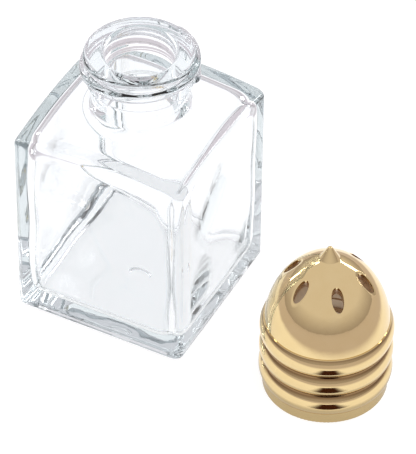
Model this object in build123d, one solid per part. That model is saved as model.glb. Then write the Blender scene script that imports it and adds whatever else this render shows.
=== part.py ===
from build123d import *
import math
import os

# A miniature square glass shaker bottle with a screw-threaded neck, and its
# one-piece gilt cap: a ribbed skirt under a pointed dome with a ring of holes.
# The cap is off and stands beside the bottle. Millimetres, +Z up.
# The origin is the centre of the bottle's base, with its sides along X and Y.

# ---- bottle body ----
side = 30.0                    # width across the flats
corner_height = 35.1           # height of the shoulder at the four corners
shoulder_rise = 2.8            # how far the domed shoulder climbs from corner to axis
upright_edge_radius = 1.5      # rounding of the four upright edges
rim_edge_radius = 1.0          # rounding around the shoulder and around the base
wall = 1.6                     # glass thickness of the four sides
base_thickness = 3.2           # heavy glass base
shoulder_thickness = 2.0
hollow_upright_radius = 3.2    # blown hollow: soft upright corners
hollow_rim_radius = 2.2        # blown hollow: soft floor and shoulder edges

# ---- neck and threaded finish ----
neck_radius = 7.8              # plain column under the finish
neck_height = 5.2              # plain column, from the shoulder's peak
neck_root_radius = 1.8         # fillet between column and shoulder
finish_radius = 8.6            # threaded barrel, without its thread
finish_height = 5.4
finish_edge_radius = 0.5
lip_overhang = 0.35            # how far the lip's bead stands out of the barrel
lip_height = 1.7
bore_radius = 5.6
mouth_edge_radius = 0.7        # rounding of the mouth's inner edge
thread_pitch = 2.8             # right-hand, one start
thread_bead_radius = 0.95      # round glass thread, half of it proud of the barrel
thread_foot_gap = 0.15         # from the bottom of the finish to the thread
thread_head_gap = 0.13         # from the thread to the top of the lip
thread_start_turn = 20.0       # where both threads begin, degrees about the axis

# ---- cap ----
cap_clearance = 0.15           # radial gap between the neck's thread and the cap's wall
cap_wall = 0.35                # thinnest wall of the skirt, between its ribs
cap_height = 28.8
rib_count = 3
rib_pitch = 4.1
rib_height = 3.8
rib_bulge = 0.63               # how far each rib stands out of the skirt
first_rib_height = 1.9         # plain band below the lowest rib
dome_step = 0.73               # the dome starts this far inside the ribs' crests
dome_draft = 5.5               # lean of the dome's wall where it starts, degrees
dome_wall = 1.0
ceiling_drop = 0.8             # the hollow's flat ceiling is this far below its dome's peak
tip_rise = 1.7                 # the pointed tip stands this high above the dome's peak
tip_foot_radius = 1.9
tip_sink = 1.2                 # the tip's foot is this far below the dome's peak
tip_nose_radius = 0.45
tip_blend_radius = 0.7         # hollow blend between tip and dome
rim_drop = 0.2                 # closed, the rim is this far below the shoulder's peak
hole_count = 6
hole_width = 1.95
hole_length = 2.7              # each hole is longer towards the cap's axis
hole_circle_radius = 5.95
hole_turn = 9.0                # turn of the ring of holes about the cap's axis, degrees
throat_margin = 0.12           # from the holes' outer side to the wall of the throat
cap_thread_depth = 0.65        # how far the cap's thread stands in from its wall
cap_thread_root = 1.3          # width of the cap's thread at the wall
cap_thread_crest = 0.5         # width of the cap's thread at its edge
cap_thread_margin = 1.5        # from the thread's last centre to the sealing ledge
cap_rim_radius = 0.15

# ---- where the loose cap stands ----
cap_gap = 11.3                 # clear space between the bottle's side and the cap
cap_back = -6.9                # Y of the cap's axis

# ---- sizes that follow ----
shoulder_peak = corner_height + shoulder_rise
finish_bottom = shoulder_peak + neck_height
lip_top = finish_bottom + finish_height
lip_radius = finish_radius + lip_overhang
thread_foot = thread_foot_gap + thread_bead_radius
thread_rise = finish_height - thread_foot - thread_bead_radius - thread_head_gap
cap_bore_radius = finish_radius + thread_bead_radius + cap_clearance
skirt_radius = cap_bore_radius + cap_wall
rib_radius = skirt_radius + rib_bulge
skirt_height = first_rib_height + (rib_count - 1) * rib_pitch + rib_height
dome_radius = rib_radius - dome_step
dome_top = cap_height - tip_rise
ceiling = dome_top - dome_wall - ceiling_drop
ledge_height = neck_height + finish_height + rim_drop
throat_radius = hole_circle_radius + hole_length / 2 + throat_margin
# Closed, the cap's thread lies half a pitch below the neck's.
cap_thread_foot = rim_drop + neck_height + thread_foot - thread_pitch / 2
cap_thread_rise = ledge_height - cap_thread_foot - cap_thread_margin
cap_x = side / 2 + cap_gap + rib_radius


def rounded_block(width, height, upright_radius):
    """A square block that stands on the XY plane, with its upright edges rounded."""
    block = Pos(0, 0, height / 2) * Box(width, width, height)
    return fillet(block.edges().filter_by(Axis.Z), upright_radius)


def under_dome(width, edge_height):
    """The space under the shoulder's dome, which meets a square's corners at edge_height."""
    half_diagonal = width / math.sqrt(2)
    rise = shoulder_rise * width / side
    ball_radius = (half_diagonal ** 2 + rise ** 2) / (2 * rise)
    ball = Pos(0, 0, edge_height + rise - ball_radius) * Sphere(ball_radius)
    slab = Pos(0, 0, (edge_height + rise) / 2) * Box(2 * width, 2 * width, edge_height + rise)
    return ball & slab


def soften_top_and_bottom(block, radius):
    """Round the rim of a block's lowest face and the rim of its domed top."""
    faces = block.faces().sort_by(Axis.Z)
    return fillet(faces[0].edges() + faces[-1].edges(), radius)


def bottle_body():
    block = rounded_block(side, shoulder_peak, upright_edge_radius)
    return soften_top_and_bottom(block & under_dome(side, corner_height), rim_edge_radius)


def bottle_neck():
    """The plain column, the barrel that carries the thread, and the rounded lip."""
    column = Pos(0, 0, finish_bottom / 2) * Cylinder(neck_radius, finish_bottom)
    barrel = Pos(0, 0, finish_bottom + finish_height / 2) * Cylinder(finish_radius, finish_height)
    barrel_foot = barrel.edges().filter_by(GeomType.CIRCLE).sort_by(Axis.Z)[0]
    barrel = fillet(barrel_foot, finish_edge_radius)
    lip = Pos(0, 0, lip_top - lip_height / 2) * Cylinder(lip_radius, lip_height)
    lip = fillet(lip.edges().filter_by(GeomType.CIRCLE), 0.49 * lip_height)
    return column + barrel + lip


def neck_thread():
    """A round right-hand thread with ball ends, centred on the barrel's surface."""
    path = Helix(thread_pitch, thread_rise, finish_radius)
    section = Plane(path @ 0, x_dir=(1, 0, 0), z_dir=path % 0) * Circle(thread_bead_radius)
    bead = sweep(section, path=path, is_frenet=True)
    for end in (path @ 0, path @ 1):
        bead += Pos(*end) * Sphere(thread_bead_radius)
    return Pos(0, 0, finish_bottom + thread_foot) * Rot(0, 0, thread_start_turn) * bead


def bottle_hollow():
    """The blown hollow: a soft-cornered square chamber that opens into the round bore."""
    width = side - 2 * wall
    roof = corner_height - shoulder_thickness
    chamber = rounded_block(width, shoulder_peak, hollow_upright_radius) & under_dome(width, roof)
    chamber &= Pos(0, 0, base_thickness + shoulder_peak / 2) * Box(side, side, shoulder_peak)
    chamber = soften_top_and_bottom(chamber, hollow_rim_radius)
    bore_length = lip_top - roof
    return chamber + Pos(0, 0, roof + bore_length / 2) * Cylinder(bore_radius, bore_length)


def circles_of_radius(shape, radius):
    """The shape's round edges of this radius, lowest first."""
    circles = shape.edges().filter_by(GeomType.CIRCLE)
    return circles.filter_by(lambda edge: abs(edge.radius - radius) < 0.01).sort_by(Axis.Z)


def glass_bottle():
    bottle = bottle_body() + bottle_neck()
    bottle = fillet(circles_of_radius(bottle, neck_radius)[0], neck_root_radius)
    bottle -= bottle_hollow()
    bottle = fillet(circles_of_radius(bottle, bore_radius)[-1], mouth_edge_radius)
    return bottle + neck_thread()


def turned(outline):
    """Turn a half outline, drawn with X as radius and Y as height, about the Z axis."""
    return revolve(Plane.XZ * outline, Axis.Z)


def dome_outline(base_radius, peak):
    """Half an ogive: its wall starts nearly upright at the skirt's top and curves in to the axis."""
    lean = math.radians(dome_draft)
    base = (base_radius, skirt_height)
    flank = TangentArc(base, (0, peak), tangent=(-math.sin(lean), math.cos(lean)))
    return make_face(flank + Polyline((0, peak), (0, 0), (base_radius, 0), base))


def tip_outline():
    """Half of the small cone with a rounded nose that crowns the dome."""
    foot_z = dome_top - tip_sink
    nose_z = cap_height - tip_nose_radius
    # The flank touches the nose's circle, so it leans by a little less than a line to its centre.
    reach = math.hypot(tip_foot_radius, nose_z - foot_z)
    lean = math.atan2(tip_foot_radius, nose_z - foot_z) - math.asin(tip_nose_radius / reach)
    touch = (tip_nose_radius * math.cos(lean), nose_z + tip_nose_radius * math.sin(lean))
    nose = CenterArc((0, nose_z), tip_nose_radius, math.degrees(lean), 90 - math.degrees(lean))
    sides = Polyline((0, cap_height), (0, foot_z), (tip_foot_radius, foot_z), touch)
    return make_face(nose + sides)


def pointed_dome_outline():
    """Half of the dome with its tip, and a hollow blend where they meet."""
    outline = dome_outline(dome_radius, dome_top) + tip_outline()
    corner = outline.vertices().filter_by(lambda point: 0 < point.X < tip_foot_radius).sort_by(Axis.Y)[0]
    return fillet(corner, tip_blend_radius)


def skirt_outline():
    """Half of the skirt with its stack of rounded ribs."""
    outline = Polyline((0, skirt_height), (0, 0), (skirt_radius, 0), (skirt_radius, first_rib_height))
    for index in range(rib_count):
        low = first_rib_height + index * rib_pitch
        high = low + rib_height
        outline += ThreePointArc((skirt_radius, low), (rib_radius, (low + high) / 2), (skirt_radius, high))
        if index < rib_count - 1:
            outline += Line((skirt_radius, high), (skirt_radius, low + rib_pitch))
    outline += Line((skirt_radius, skirt_height), (0, skirt_height))
    return make_face(outline)


def column_outline(radius, height):
    """Half of a plain cylinder that stands on the cap's rim plane."""
    return Pos(radius / 2, height / 2) * Rectangle(radius, height)


def hollow_outline():
    """Half of the cap's inside: the threaded well up to the sealing ledge, and the throat."""
    well = column_outline(cap_bore_radius, ledge_height)
    inner_dome = dome_outline(dome_radius - dome_wall, dome_top - dome_wall)
    throat = column_outline(throat_radius, ceiling) & inner_dome
    return well + throat


def shaker_holes():
    """A ring of oval holes that run straight down through the dome."""
    drill = Pos(0, 0, skirt_height) * extrude(Ellipse(hole_length / 2, hole_width / 2), cap_height)
    return PolarLocations(hole_circle_radius, hole_count, hole_turn) * drill


def cap_thread():
    """The cap's right-hand thread: a blunt ridge that runs between the turns of the neck's."""
    embed = cap_wall / 2
    path = Helix(thread_pitch, cap_thread_rise, cap_bore_radius)
    ridge = Polyline(
        (embed, -cap_thread_root / 2),
        (embed, cap_thread_root / 2),
        (-cap_thread_depth, cap_thread_crest / 2),
        (-cap_thread_depth, -cap_thread_crest / 2),
        close=True,
    )
    section = Plane(path @ 0, x_dir=(1, 0, 0), z_dir=path % 0) * make_face(ridge)
    thread = sweep(section, path=path, is_frenet=True)
    return Pos(0, 0, cap_thread_foot) * Rot(0, 0, thread_start_turn) * thread


def shaker_cap():
    cap = turned(skirt_outline() + pointed_dome_outline() - hollow_outline())
    cap = fillet(cap.faces().sort_by(Axis.Z)[0].edges(), cap_rim_radius)
    cap = cap - shaker_holes() + cap_thread()
    return Pos(cap_x, cap_back, 0) * cap


os.makedirs("parts", exist_ok=True)
export_step(glass_bottle(), "parts/glass_bottle.step")
export_step(shaker_cap(), "parts/shaker_cap.step")
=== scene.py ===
import math

import bpy
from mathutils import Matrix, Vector


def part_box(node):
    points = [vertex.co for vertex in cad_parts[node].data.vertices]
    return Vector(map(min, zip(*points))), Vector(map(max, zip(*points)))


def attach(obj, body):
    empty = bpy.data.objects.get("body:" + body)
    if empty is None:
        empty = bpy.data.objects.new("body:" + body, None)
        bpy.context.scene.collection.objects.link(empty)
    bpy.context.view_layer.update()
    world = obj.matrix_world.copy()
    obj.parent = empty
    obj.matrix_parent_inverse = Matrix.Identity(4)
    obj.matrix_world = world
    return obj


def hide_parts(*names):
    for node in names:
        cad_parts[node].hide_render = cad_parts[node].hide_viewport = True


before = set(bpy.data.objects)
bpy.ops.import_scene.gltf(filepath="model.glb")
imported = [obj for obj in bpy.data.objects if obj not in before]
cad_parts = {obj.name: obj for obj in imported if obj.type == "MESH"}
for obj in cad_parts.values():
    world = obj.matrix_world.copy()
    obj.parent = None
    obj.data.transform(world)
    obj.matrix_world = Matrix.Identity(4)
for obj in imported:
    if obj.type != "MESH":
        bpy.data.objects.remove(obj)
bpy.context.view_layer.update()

MM = 0.001

# ---- camera and studio ----
CAMERA_AZIMUTH = 26.95        # degrees; 0 looks along +Y
CAMERA_ELEVATION = 42.9       # degrees above the floor
CAMERA_ROLL = 0.65            # degrees
CAMERA_DISTANCE = 0.5907
CAMERA_LENS = 288.9           # millimetres on a 36 mm sensor
AIM = Vector((10.04, 4.31, 12.0)) * MM
FLOOR_SIZE = 4.0
HORIZON = (0.455, 0.415, 0.43, 1)
ZENITH = (0.83, 0.80, 0.83, 1)
ZENITH_START = 0.35           # how far up the room is as light as its zenith
POOL_CENTRE = Vector((4.0, 16.0, 0.0)) * MM
POOL_RADIUS = 64 * MM         # the floor is white this far from the pool's centre
POOL_FADE_RADIUS = 88 * MM    # and fully faded here
BARE_FLOOR = (0.42, 0.42, 0.42, 1)
NEAR_FLOOR = (0.79, 0.79, 0.79, 1)     # its glow in the pool
FAR_FLOOR = (0.28, 0.235, 0.26, 1)     # and outside it
FLOOR_GAP = 0.02 * MM         # the floor lies this far under the base, so the two faces don't fight

# ---- two tall soft lights behind the object ----
STRIP_AZIMUTHS = (150, -95)   # degrees: right rear and left rear
STRIP_ELEVATION = 30          # degrees
STRIP_DISTANCE = 1.0
STRIP_WIDTH = 0.09
STRIP_HEIGHT = 1.0
STRIP_POWER = 2.0             # watts

# ---- bottle ----
HALF = 15.0 * MM              # half the width across the flats
UPRIGHT_RADIUS = 1.5 * MM
RIM_RADIUS = 1.0 * MM
CORNER_HEIGHT = 35.1 * MM
SHOULDER_RISE = 2.8 * MM
PEAK = CORNER_HEIGHT + SHOULDER_RISE
SHOULDER_CURVE = (2 * HALF ** 2 + SHOULDER_RISE ** 2) / (2 * SHOULDER_RISE)
BASE_DISH = 0.3 * MM          # the base is hollowed by this much, so it stands near its rim
MARK_TOP = 0.35 * MM          # height of the round mould mark in the dish's middle
# its radius and height over the dish, in millimetres, from its flat top out
MOULD_MARK = ((0.9, 0.35), (1.5, 0.33), (1.8, 0.2), (1.95, 0.0), (2.4, -0.06), (2.9, 0.0))
COLUMN_RADIUS = 7.8 * MM
ROOT_RADIUS = 1.8 * MM
FINISH_BOTTOM = 43.1 * MM
FINISH_RADIUS = 8.6 * MM
FINISH_EDGE = 0.5 * MM
LIP_RADIUS = 8.95 * MM
LIP_HEIGHT = 1.7 * MM
LIP_TOP = 48.5 * MM
MOUTH_EDGE = 0.7 * MM
BORE_RADIUS = 5.6 * MM
THREAD_PITCH = 2.8 * MM
THREAD_BEAD = 0.95 * MM
THREAD_START = math.radians(20)
THREAD_FOOT = 44.2 * MM       # height of the thread's first centre
THREAD_HEAD = 47.42 * MM      # height of its last
STEP_OUT = 0.3 * MM           # the column flares by this much under the finish
WALL = 1.6 * MM
HOLLOW_CORNER = 3.2 * MM
HOLLOW_RIM = 2.2 * MM
FLOOR_GLASS = 3.2 * MM
ROOF_GLASS = 2.0 * MM
BORE_FLARE = 2.0 * MM         # rounding between the bore and the hollow's roof
WAVE = 0.40 * MM              # unevenness of the blown inner wall
WAVE_START = 4 * MM           # it is full this far under the hollow's roof
# how fast each wave turns along X, Y and Z, in radians per metre, and where it starts
WAVES = ((190, 0, 410, 0), (0, 330, -150, 1.3), (270, 210, 0, 0.6))

# ---- how finely the bottle's surface is divided ----
SIDE_STEPS = 24               # points along each flat side of a ring
CORNER_STEPS = 16             # points around each corner of a ring
RING_STEPS = 4 * (SIDE_STEPS + CORNER_STEPS)
ARC_STEPS = 8                 # rings to a rounded edge
WIDE_ARC_STEPS = 12           # rings to the hollow's wider ones
STEP_ARC_STEPS = 4            # rings to the small step under the finish
SHOULDER_STEPS = 10           # rings up the shoulder
FINISH_STEPS = 44             # up the threaded finish
BORE_STEPS = 8                # down the bore
ROOF_STEPS = 8                # across the hollow's roof
HOLLOW_STEPS = 24             # and down its sides

# ---- painted shadow before the cap, and the painted shade under its foot ----
SHADOW_DISTANCE = 21.0 * MM     # from the cap's axis
SHADOW_AZIMUTH = 30.0           # degrees
SHADOW_SIZE = 15 * MM
SHADOW_CORE = 2.5 * MM          # dark this far to both sides of its middle line
SHADOW_FADE = 7.0 * MM          # and clear from here on
# colour of the painted shadow before the cap and of the painted shade under its foot
PAINTED_SHADE_BROWN = (0.06, 0.02, 0.01, 1)
SHADE_RADIUS = 11.5 * MM      # full contact shade under the cap's foot out to here
SHADE_FADE = 15.0 * MM        # and none from here on
SHADE_STRENGTH = 0.4

# ---- glass ----
GLASS_TINT = (0.885, 0.91, 0.915, 1)
GLASS_DENSITY = 85.0          # per metre
GLASS_SURFACE = (0.975, 0.985, 0.995, 1)
LIGHT_TURNS = 16              # light turns back many times inside thick glass
LIGHT_PASSES = 24             # and passes through many of its surfaces
LIGHT_BOUNCES = 32            # turns and passes together

# ---- cap finish ----
low_corner, high_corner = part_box("shaker_cap")
CAP_AXIS = Vector(((low_corner[0] + high_corner[0]) / 2, (low_corner[1] + high_corner[1]) / 2, 0))
SKIRT_TOP = 13.9 * MM
RIM_BAND = 2.4 * MM           # the skirt's plain band reaches up to here
GROOVE_EDGE = 10.5 * MM       # the grooves between the ribs are darker inside this radius, with painted shade
WELL_EDGE = 9.85 * MM
DOME_OFFSET = 5.79 * MM       # the dome's arc is struck from this far beyond its axis
DOME_RING_HEIGHT = 12.39 * MM
DOME_CURVE = 15.81 * MM
HOLE_CIRCLE = 5.95 * MM
HOLE_HALF_LENGTH = 1.35 * MM
HOLE_HALF_WIDTH = 0.975 * MM
HOLE_RIM_START = 0.95         # the rounding of a hole's rim, as shares of the hole's own half sizes
HOLE_RIM_END = 1.3
HOLE_STEP = math.radians(60)
HOLE_TURN = math.radians(9)
GILT_LIGHT = (0.80, 0.63, 0.34, 1)
GILT_DEEP = (0.76, 0.58, 0.29, 1)
# painted shade colour for the grooves between the ribs
GROOVE_SHADE_BROWN = (0.22, 0.12, 0.05, 1)
GILT_INSIDE = (0.74, 0.58, 0.42, 1)


def direction(azimuth, elevation):
    """The unit vector from the object towards a viewer at this azimuth and elevation."""
    turn, lift = math.radians(azimuth), math.radians(elevation)
    return Vector((math.sin(turn) * math.cos(lift), -math.cos(turn) * math.cos(lift), math.sin(lift)))


def add_camera():
    back = direction(CAMERA_AZIMUTH, CAMERA_ELEVATION)
    bpy.ops.object.camera_add(location=AIM + back * CAMERA_DISTANCE)
    camera = bpy.context.object
    camera.rotation_euler = (-back).to_track_quat("-Z", "Y").to_euler()
    camera.rotation_euler.rotate_axis("Z", math.radians(CAMERA_ROLL))
    camera.data.lens = CAMERA_LENS
    camera.data.sensor_width = 36.0
    camera.data.clip_start = 0.01
    bpy.context.scene.camera = camera


class Socket:
    """A shader output that Python's operators work on: each one adds a Math node."""

    def __init__(self, sheet, link):
        self.sheet = sheet
        self.link = link

    def math(self, operation, *terms):
        """A Math node on these terms, or on this socket alone where none is given."""
        inputs = dict(enumerate(terms or (self,)))
        return self.sheet.node("ShaderNodeMath", {"operation": operation}, inputs)

    def clipped(self):
        """The part above zero."""
        return self.math("MAXIMUM", self, 0.0)

    def __add__(self, other):
        return self.math("ADD", self, other)

    def __sub__(self, other):
        return self.math("SUBTRACT", self, other)

    def __mul__(self, other):
        return self.math("MULTIPLY", self, other)

    def __rsub__(self, other):
        return self.math("SUBTRACT", other, self)

    __radd__ = __add__
    __rmul__ = __mul__


class Sheet:
    """The node tree of a material or of the world."""

    def __init__(self, owner, shader="Principled BSDF"):
        owner.use_nodes = True
        self.owner = owner
        self.nodes = owner.node_tree.nodes
        self.shader = self.nodes[shader]

    def node(self, kind, settings=None, inputs=None, output=0):
        """A new node with its settings made first, then its inputs fed; gives one output."""
        new = self.nodes.new(kind)
        for name, value in (settings or {}).items():
            setattr(new, name, value)
        for name, value in (inputs or {}).items():
            self.feed(new.inputs[name], value)
        return Socket(self, new.outputs[output])

    def feed(self, entry, value):
        """Links a socket to the entry, or sets the entry to a plain value."""
        if isinstance(value, Socket):
            self.owner.node_tree.links.new(value.link, entry)
        else:
            entry.default_value = value

    def place(self, origin=(0, 0, 0)):
        """Object coordinates measured from this origin."""
        coordinates = self.node("ShaderNodeTexCoord", output=3)
        return self.vector("SUBTRACT", coordinates, tuple(origin))

    def part(self, vector, axis):
        """One of a vector's three numbers."""
        return self.node("ShaderNodeSeparateXYZ", inputs={"Vector": vector}, output="XYZ".index(axis))

    def vector(self, operation, *terms, output=0):
        inputs = dict(enumerate(terms))
        return self.node("ShaderNodeVectorMath", {"operation": operation}, inputs, output)

    def length(self, vector):
        return self.vector("LENGTH", vector, output=1)

    def noise(self, place, scale, detail):
        inputs = {"Vector": place, "Scale": scale, "Detail": detail}
        return self.node("ShaderNodeTexNoise", inputs=inputs)

    def step_up(self, value, low, high, curve="SMOOTHSTEP"):
        """0 where the value is below low and 1 above high, with this curve between."""
        inputs = {"Value": value, "From Min": low, "From Max": high}
        return self.node("ShaderNodeMapRange", {"interpolation_type": curve}, inputs)

    def mix(self, share, first, second):
        """A colour between two colours."""
        inputs = {0: share, 6: first, 7: second}
        return self.node("ShaderNodeMix", {"data_type": "RGBA"}, inputs, output=2)

    def bump(self, height, strength, depth):
        inputs = {"Height": height, "Strength": strength, "Distance": depth}
        return self.node("ShaderNodeBump", inputs=inputs)

    def absorb(self, colour, density):
        """Tints the light that passes through the piece, more so where the piece is thicker."""
        inputs = {"Color": colour, "Density": density}
        tint = self.node("ShaderNodeVolumeAbsorption", inputs=inputs)
        self.feed(self.nodes["Material Output"].inputs["Volume"], tint)

    def finish(self, **inputs):
        """Feeds the shader's named inputs; an underscore stands for a space."""
        for name, value in inputs.items():
            self.feed(self.shader.inputs[name.replace("_", " ")], value)
        return self.owner


def new_sheet(name):
    return Sheet(bpy.data.materials.new(name))


def clear_glass():
    """Clear pressed glass with faint mould ripples and a trace of haze in patches."""
    sheet = new_sheet("clear_glass")
    place = sheet.place()
    ripples = sheet.noise(place, scale=230, detail=1.5)
    patches = sheet.noise(place, scale=90, detail=3)
    haze = (patches - 0.55).clipped() * 0.05
    sheet.absorb(GLASS_TINT, GLASS_DENSITY)
    return sheet.finish(
        Base_Color=GLASS_SURFACE,
        Roughness=haze,
        IOR=1.5,
        Transmission_Weight=1.0,
        Normal=sheet.bump(ripples, strength=0.35, depth=0.05 * MM),
    )


def gilt():
    """Bright gilt plating: almost a mirror, with painted shade that turns it brown in the grooves, where
    it is also dull; pale and matt inside.
    """
    sheet = new_sheet("gilt")
    place = sheet.place(CAP_AXIS)
    x, y, z = (sheet.part(place, axis) for axis in "XYZ")
    radius = (x * x + y * y).math("SQRT")
    on_skirt = sheet.step_up(SKIRT_TOP - z, 0.0, 0.2 * MM)
    above_rim = sheet.step_up(z, RIM_BAND, RIM_BAND + 0.2 * MM)
    in_groove = on_skirt * above_rim * sheet.step_up(GROOVE_EDGE - radius, 0.0, 0.4 * MM)
    in_well = on_skirt * sheet.step_up(WELL_EDGE - radius, 0.0, 0.1 * MM)
    across_dome = radius + DOME_OFFSET
    above_ring = z - DOME_RING_HEIGHT
    depth = DOME_CURVE - (across_dome * across_dome + above_ring * above_ring).math("SQRT")
    in_hole = (1 - on_skirt) * sheet.step_up(depth, 0.1 * MM, 0.5 * MM)
    inside = sheet.step_up(in_hole + in_well, 0.0, 1.0)
    mottle = sheet.noise(place, scale=420, detail=2)
    peel = sheet.noise(place, scale=1500, detail=1)
    sag = sheet.noise(place, scale=130, detail=1)
    colour = sheet.mix(mottle, GILT_LIGHT, GILT_DEEP)
    # painted shade: the grooves between the ribs are darkened towards brown
    colour = sheet.mix(in_groove * 0.9, colour, GROOVE_SHADE_BROWN)
    colour = sheet.mix(inside, colour, GILT_INSIDE)
    surface = sag + peel * 0.04 + rounded_hole_rims(sheet, x, y, radius) * 1.6
    return sheet.finish(
        Base_Color=colour,
        Metallic=1.0,
        Roughness=0.035 + 0.03 * mottle + 0.12 * in_groove + 0.25 * inside,
        Normal=sheet.bump(surface, strength=0.5, depth=0.1 * MM),
    )


def rounded_hole_rims(sheet, x, y, radius):
    """A height that falls off to the edge of each oval hole: 1 on the dome and 0 at the edge."""
    turn = y.math("ARCTAN2", y, x) - HOLE_TURN + HOLE_STEP / 2
    nearest = turn.math("WRAP", turn, HOLE_STEP, 0.0) - HOLE_STEP / 2
    along = (radius * nearest.math("COSINE") - HOLE_CIRCLE) * (1 / HOLE_HALF_LENGTH)
    across = radius * nearest.math("SINE") * (1 / HOLE_HALF_WIDTH)
    return sheet.step_up((along * along + across * across).math("SQRT"), HOLE_RIM_START, HOLE_RIM_END)


def lit_floor():
    """A pale floor that glows white in a pool around the object and is greyer further out."""
    sheet = new_sheet("lit_floor")
    distance = sheet.length(sheet.place(POOL_CENTRE))
    faded = sheet.step_up(distance, POOL_RADIUS, POOL_FADE_RADIUS)
    return sheet.finish(
        Base_Color=BARE_FLOOR,
        Roughness=1.0,
        Specular_IOR_Level=0.0,
        Emission_Color=sheet.mix(faded, NEAR_FLOOR, FAR_FLOOR),
        Emission_Strength=1.0,
    )


def painted_shadow(middle, sideways):
    """Painted shadow: dark along its middle line, fading out to both sides."""
    sheet = new_sheet("painted_shadow")
    across = sheet.vector("DOT_PRODUCT", sheet.place(middle), tuple(sideways), output=1)
    return sheet.finish(
        Base_Color=PAINTED_SHADE_BROWN,
        Roughness=1.0,
        Specular_IOR_Level=0.0,
        Alpha=1 - sheet.step_up(across.math("ABSOLUTE"), SHADOW_CORE, SHADOW_FADE),
    )


def contact_shade():
    """A faint brown shade around the cap's axis, fading outward."""
    sheet = new_sheet("contact_shade")
    radius = sheet.length(sheet.place(CAP_AXIS))
    return sheet.finish(
        Base_Color=PAINTED_SHADE_BROWN,
        Roughness=1.0,
        Specular_IOR_Level=0.0,
        Alpha=SHADE_STRENGTH * (1 - sheet.step_up(radius, SHADE_RADIUS, SHADE_FADE)),
    )


def add_painted_shadow():
    """A painted shadow on the floor before the cap, for the dark bars mirrored in its ribs."""
    middle = CAP_AXIS + direction(SHADOW_AZIMUTH, 0) * SHADOW_DISTANCE
    material = painted_shadow(middle, direction(SHADOW_AZIMUTH + 90, 0))
    add_mirrored_shade_plane("painted_shadow", SHADOW_SIZE, middle, math.radians(SHADOW_AZIMUTH), material)


def add_contact_shade():
    """The cap's contact shade, for the deeper gold of its rim band."""
    middle = CAP_AXIS - Vector((0, 0, FLOOR_GAP / 2))
    add_mirrored_shade_plane("contact_shade", 2 * SHADE_FADE, middle, 0, contact_shade())


def add_mirrored_shade_plane(name, size, middle, turn, material):
    """A square of painted shade on the floor that shows only where a piece mirrors it."""
    bpy.ops.mesh.primitive_plane_add(size=size, location=middle, rotation=(0, 0, turn))
    shade_plane = bpy.context.object
    shade_plane.name = name
    bpy.ops.object.transform_apply(location=True, rotation=True)
    shade_plane.data.materials.append(material)
    shade_plane.visible_camera = False
    shade_plane.visible_diffuse = False
    shade_plane.visible_transmission = False
    shade_plane.visible_shadow = False


def add_floor():
    bpy.ops.mesh.primitive_plane_add(size=FLOOR_SIZE, location=(0, 0, -FLOOR_GAP))
    floor = bpy.context.object
    floor.name = "floor"
    bpy.ops.object.transform_apply(location=True)
    floor.data.materials.append(lit_floor())


def add_strip_light(azimuth):
    """A tall narrow soft light that faces the object."""
    away = direction(azimuth, STRIP_ELEVATION)
    bpy.ops.object.light_add(type="AREA", location=AIM + away * STRIP_DISTANCE)
    light = bpy.context.object
    light.rotation_euler = away.to_track_quat("Z", "Y").to_euler()
    light.data.shape = "RECTANGLE"
    light.data.size = STRIP_WIDTH
    light.data.size_y = STRIP_HEIGHT
    light.data.energy = STRIP_POWER
    light.visible_camera = False


def add_world():
    """A pale room that is darker towards its horizon, which draws the glass's edges in grey."""
    sheet = Sheet(bpy.data.worlds.new("studio"), "Background")
    height = sheet.part(sheet.node("ShaderNodeTexCoord"), "Z")
    lightness = sheet.step_up(height, 0.0, ZENITH_START, "LINEAR")
    bpy.context.scene.world = sheet.finish(Color=sheet.mix(lightness, HORIZON, ZENITH))


# ---- the bottle's surface, as rings of points from the base's centre to the hollow's floor ----
# Clear glass shows every seam of joined or cut primitives, so the whole bottle is one even skin.
def square_ring(half, corner):
    """The plan of a rounded square ring: sides and corners take turns, starting on the +X side."""
    ring = []
    flat = half - corner
    for quarter in range(4):
        for step in range(SIDE_STEPS + CORNER_STEPS):
            if step <= SIDE_STEPS:
                x, y = half, flat * (2 * step / SIDE_STEPS - 1)
            else:
                bend = math.radians(90) * (step - SIDE_STEPS) / CORNER_STEPS
                x, y = flat + corner * math.cos(bend), flat + corner * math.sin(bend)
            for _ in range(quarter):
                x, y = -y, x
            ring.append((x, y))
    return ring


def ring_angle(step):
    """The plan angle of a round ring's point: the one that lines up with a square ring's sides."""
    return 2 * math.pi * (step - SIDE_STEPS / 2) / RING_STEPS


def round_ring(radius):
    angles = [ring_angle(step) for step in range(RING_STEPS)]
    return [(radius * math.cos(angle), radius * math.sin(angle)) for angle in angles]


def between(first, second, share):
    return [tuple(a + (b - a) * share for a, b in zip(p, q)) for p, q in zip(first, second)]


def shoulder_height(x, y, peak=PEAK):
    """The height of the shallow round dome over a place in plan."""
    return peak - SHOULDER_CURVE + math.sqrt(SHOULDER_CURVE ** 2 - x ** 2 - y ** 2)


def roof_height(x, y):
    """The same for the hollow's roof."""
    return shoulder_height(x, y, PEAK - ROOF_GLASS)


def quarter_turn(steps=ARC_STEPS):
    """The angles of a rounded edge's rings, both ends included."""
    return [math.radians(90) * i / steps for i in range(steps + 1)]


def flat_at(ring, height):
    return [(x, y, height) for x, y in ring]


def base_rings():
    """The dished base, then the rounding up into the sides."""
    foot = HALF - RIM_RADIUS
    rings = []
    for radius, height in MOULD_MARK:
        rings.append(flat_at(round_ring(radius * MM), BASE_DISH + height * MM))
    for share, height in ((0.35, 1), (0.55, 1), (0.75, 1), (0.88, 1), (0.92, 0.5), (0.96, 0)):
        rings.append(flat_at(square_ring(foot * share, UPRIGHT_RADIUS * share), BASE_DISH * height))
    for bend in quarter_turn():
        inset = RIM_RADIUS * (1 - math.sin(bend))
        ring = square_ring(HALF - inset, UPRIGHT_RADIUS - inset / 2)
        rings.append(flat_at(ring, RIM_RADIUS * (1 - math.cos(bend))))
    return rings


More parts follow.
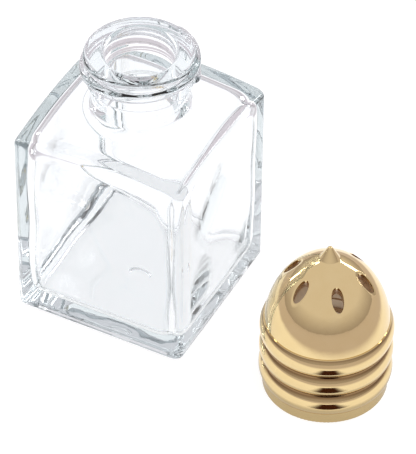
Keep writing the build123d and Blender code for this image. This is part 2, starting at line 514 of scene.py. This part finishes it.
def side_and_shoulder_rings():
    """Up the flat sides, over the rounded rim, and up the dome to the foot of the neck."""
    rim = square_ring(HALF, UPRIGHT_RADIUS)
    rings = []
    for share in (0.25, 0.5, 0.75):
        rings.append([
            (x, y, RIM_RADIUS + (shoulder_height(x, y) - 2 * RIM_RADIUS) * share) for x, y in rim
        ])
    for bend in quarter_turn():
        inset = RIM_RADIUS * (1 - math.cos(bend))
        drop = RIM_RADIUS * (1 - math.sin(bend))
        ring = square_ring(HALF - inset, UPRIGHT_RADIUS - inset / 2)
        rings.append([(x, y, shoulder_height(x, y) - drop) for x, y in ring])
    inner_rim = square_ring(HALF - RIM_RADIUS, UPRIGHT_RADIUS - RIM_RADIUS / 2)
    root = round_ring(COLUMN_RADIUS + ROOT_RADIUS)
    for step in range(1, SHOULDER_STEPS):
        ring = between(inner_rim, root, step / SHOULDER_STEPS)
        rings.append([(x, y, shoulder_height(x, y)) for x, y in ring])
    return rings


def column_rings():
    """The hollow blend at the neck's root, the plain column, and the step out to the finish."""
    root_height = shoulder_height(COLUMN_RADIUS + ROOT_RADIUS, 0)
    rings = []
    for bend in quarter_turn():
        radius = COLUMN_RADIUS + ROOT_RADIUS * (1 - math.sin(bend))
        rings.append(flat_at(round_ring(radius), root_height + ROOT_RADIUS * (1 - math.cos(bend))))
    top = FINISH_BOTTOM - STEP_OUT
    bottom = root_height + ROOT_RADIUS
    for share in (0.4, 0.8):
        rings.append(flat_at(round_ring(COLUMN_RADIUS), bottom + (top - bottom) * share))
    for bend in quarter_turn(STEP_ARC_STEPS):
        radius = COLUMN_RADIUS + STEP_OUT * (1 - math.cos(bend))
        rings.append(flat_at(round_ring(radius), FINISH_BOTTOM - STEP_OUT * (1 - math.sin(bend))))
    return rings


def bead_bulge(angle, height):
    """How far the round thread stands out of the barrel at a plan angle and height."""
    turns = (angle - THREAD_START) / (2 * math.pi) % 1
    run_per_rise = 2 * math.pi * FINISH_RADIUS / THREAD_PITCH
    bulge = 0
    for lap in range(-1, 3):
        centre = THREAD_FOOT + (turns + lap) * THREAD_PITCH
        past_end = max(THREAD_FOOT - centre, centre - THREAD_HEAD, 0) * run_per_rise
        nearest = min(max(centre, THREAD_FOOT), THREAD_HEAD)
        off = math.hypot(height - nearest, past_end)
        if off < THREAD_BEAD:
            bulge = max(bulge, math.sqrt(THREAD_BEAD ** 2 - off ** 2))
    return bulge


def finish_rings():
    """The threaded barrel, and the lower half of the rounded lip above it."""
    nose = LIP_HEIGHT / 2
    rings = []
    for step in range(FINISH_STEPS + 1):
        height = FINISH_BOTTOM + (LIP_TOP - nose - FINISH_BOTTOM) * step / FINISH_STEPS
        foot = max(FINISH_EDGE - (height - FINISH_BOTTOM), 0)
        barrel = FINISH_RADIUS - FINISH_EDGE + math.sqrt(FINISH_EDGE ** 2 - foot ** 2)
        below = min(max(LIP_TOP - nose - height, 0), nose)
        lip = LIP_RADIUS - nose + math.sqrt(nose ** 2 - below ** 2)
        ring = []
        for step_round in range(RING_STEPS):
            angle = ring_angle(step_round)
            radius = max(barrel + bead_bulge(angle, height), lip)
            ring.append((radius * math.cos(angle), radius * math.sin(angle), height))
        rings.append(ring)
    return rings


def mouth_and_bore_rings():
    """Over the lip, round the mouth's edge, down the bore and out into the hollow's roof."""
    rings = []
    nose = LIP_HEIGHT / 2
    for bend in quarter_turn()[1:]:
        radius = LIP_RADIUS - nose * (1 - math.cos(bend))
        rings.append(flat_at(round_ring(radius), LIP_TOP - nose * (1 - math.sin(bend))))
    for bend in quarter_turn():
        radius = BORE_RADIUS + MOUTH_EDGE * (1 - math.sin(bend))
        rings.append(flat_at(round_ring(radius), LIP_TOP - MOUTH_EDGE * (1 - math.cos(bend))))
    top = LIP_TOP - MOUTH_EDGE
    roof = roof_height(BORE_RADIUS + BORE_FLARE, 0)
    bottom = roof + BORE_FLARE
    for step in range(1, BORE_STEPS):
        rings.append(flat_at(round_ring(BORE_RADIUS), top + (bottom - top) * step / BORE_STEPS))
    for bend in quarter_turn():
        radius = BORE_RADIUS + BORE_FLARE * (1 - math.cos(bend))
        rings.append(flat_at(round_ring(radius), bottom - BORE_FLARE * math.sin(bend)))
    return rings


def hollow_rings():
    """The blown hollow: under the roof, round its soft rim, down the sides and over the floor."""
    half = HALF - WALL
    inner_half, inner_corner = half - HOLLOW_RIM, HOLLOW_CORNER - HOLLOW_RIM / 2
    flare = round_ring(BORE_RADIUS + BORE_FLARE)
    roof_rim = square_ring(inner_half, inner_corner)
    rings = []
    for step in range(1, ROOF_STEPS):
        ring = between(flare, roof_rim, step / ROOF_STEPS)
        rings.append([(x, y, roof_height(x, y)) for x, y in ring])
    for bend in quarter_turn(WIDE_ARC_STEPS):
        inset = HOLLOW_RIM * (1 - math.sin(bend))
        ring = square_ring(half - inset, HOLLOW_CORNER - inset / 2)
        drop = HOLLOW_RIM * (1 - math.cos(bend))
        rings.append([(x, y, roof_height(x, y) - drop) for x, y in ring])
    side = rings[-1]
    low = FLOOR_GLASS + HOLLOW_RIM
    for step in range(1, HOLLOW_STEPS):
        rings.append([(x, y, z + (low - z) * step / HOLLOW_STEPS) for x, y, z in side])
    for bend in quarter_turn(WIDE_ARC_STEPS):
        inset = HOLLOW_RIM * (1 - math.cos(bend))
        ring = square_ring(half - inset, HOLLOW_CORNER - inset / 2)
        rings.append(flat_at(ring, FLOOR_GLASS + HOLLOW_RIM * (1 - math.sin(bend))))
    for share in (0.85, 0.7, 0.55, 0.4, 0.25, 0.12):
        rings.append(flat_at(square_ring(inner_half * share, inner_corner * share), FLOOR_GLASS))
    return rings


def blown(ring):
    """The ring with the slow waves that a blown wall has, none at the bore."""
    waved = []
    for x, y, z in ring:
        depth = min(max((PEAK - ROOF_GLASS - z) / WAVE_START, 0), 1)
        swell = sum(math.sin(in_x * x + in_y * y + in_z * z + start) for in_x, in_y, in_z, start in WAVES)
        scale = 1 + WAVE * depth * swell / (len(WAVES) * HALF)
        waved.append((x * scale, y * scale, z))
    return waved


def skin(name, rings, first, last):
    """A closed piece whose surface runs over these rings, from one pole to the other."""
    rows = len(rings)
    bpy.ops.mesh.primitive_uv_sphere_add(segments=RING_STEPS, ring_count=rows + 1)
    piece = bpy.context.object
    piece.name = piece.data.name = name
    for vertex in piece.data.vertices:
        x, y, z = vertex.co
        row = round(math.acos(max(-1, min(1, -z))) / math.pi * (rows + 1))
        step = round(math.atan2(y, x) / (2 * math.pi) * RING_STEPS) % RING_STEPS
        if row == 0:
            vertex.co = first
        elif row == rows + 1:
            vertex.co = last
        else:
            vertex.co = rings[row - 1][step]
    bpy.ops.object.mode_set(mode="EDIT")
    bpy.ops.mesh.select_all(action="SELECT")
    bpy.ops.mesh.normals_make_consistent(inside=False)
    bpy.ops.object.mode_set(mode="OBJECT")
    bpy.ops.object.shade_smooth()
    return piece


def make_bottle():
    rings = base_rings() + side_and_shoulder_rings() + column_rings()
    rings += finish_rings() + mouth_and_bore_rings()
    rings += [blown(ring) for ring in hollow_rings()]
    bottle = skin("bottle_glass", rings, (0, 0, BASE_DISH + MARK_TOP), (0, 0, FLOOR_GLASS))
    bottle.data.materials.append(clear_glass())
    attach(bottle, "bottle")
    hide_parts("glass_bottle")


def paint(node, material):
    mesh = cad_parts[node].data
    mesh.materials.clear()
    mesh.materials.append(material)


bpy.ops.object.select_all(action="DESELECT")
bpy.context.scene.view_settings.view_transform = "Standard"
cycles = bpy.context.scene.cycles
cycles.glossy_bounces = LIGHT_TURNS
cycles.transmission_bounces = LIGHT_PASSES
cycles.max_bounces = LIGHT_BOUNCES
add_camera()
add_world()
add_floor()
add_painted_shadow()
add_contact_shade()
for azimuth in STRIP_AZIMUTHS:
    add_strip_light(azimuth)
make_bottle()
paint("shaker_cap", gilt())
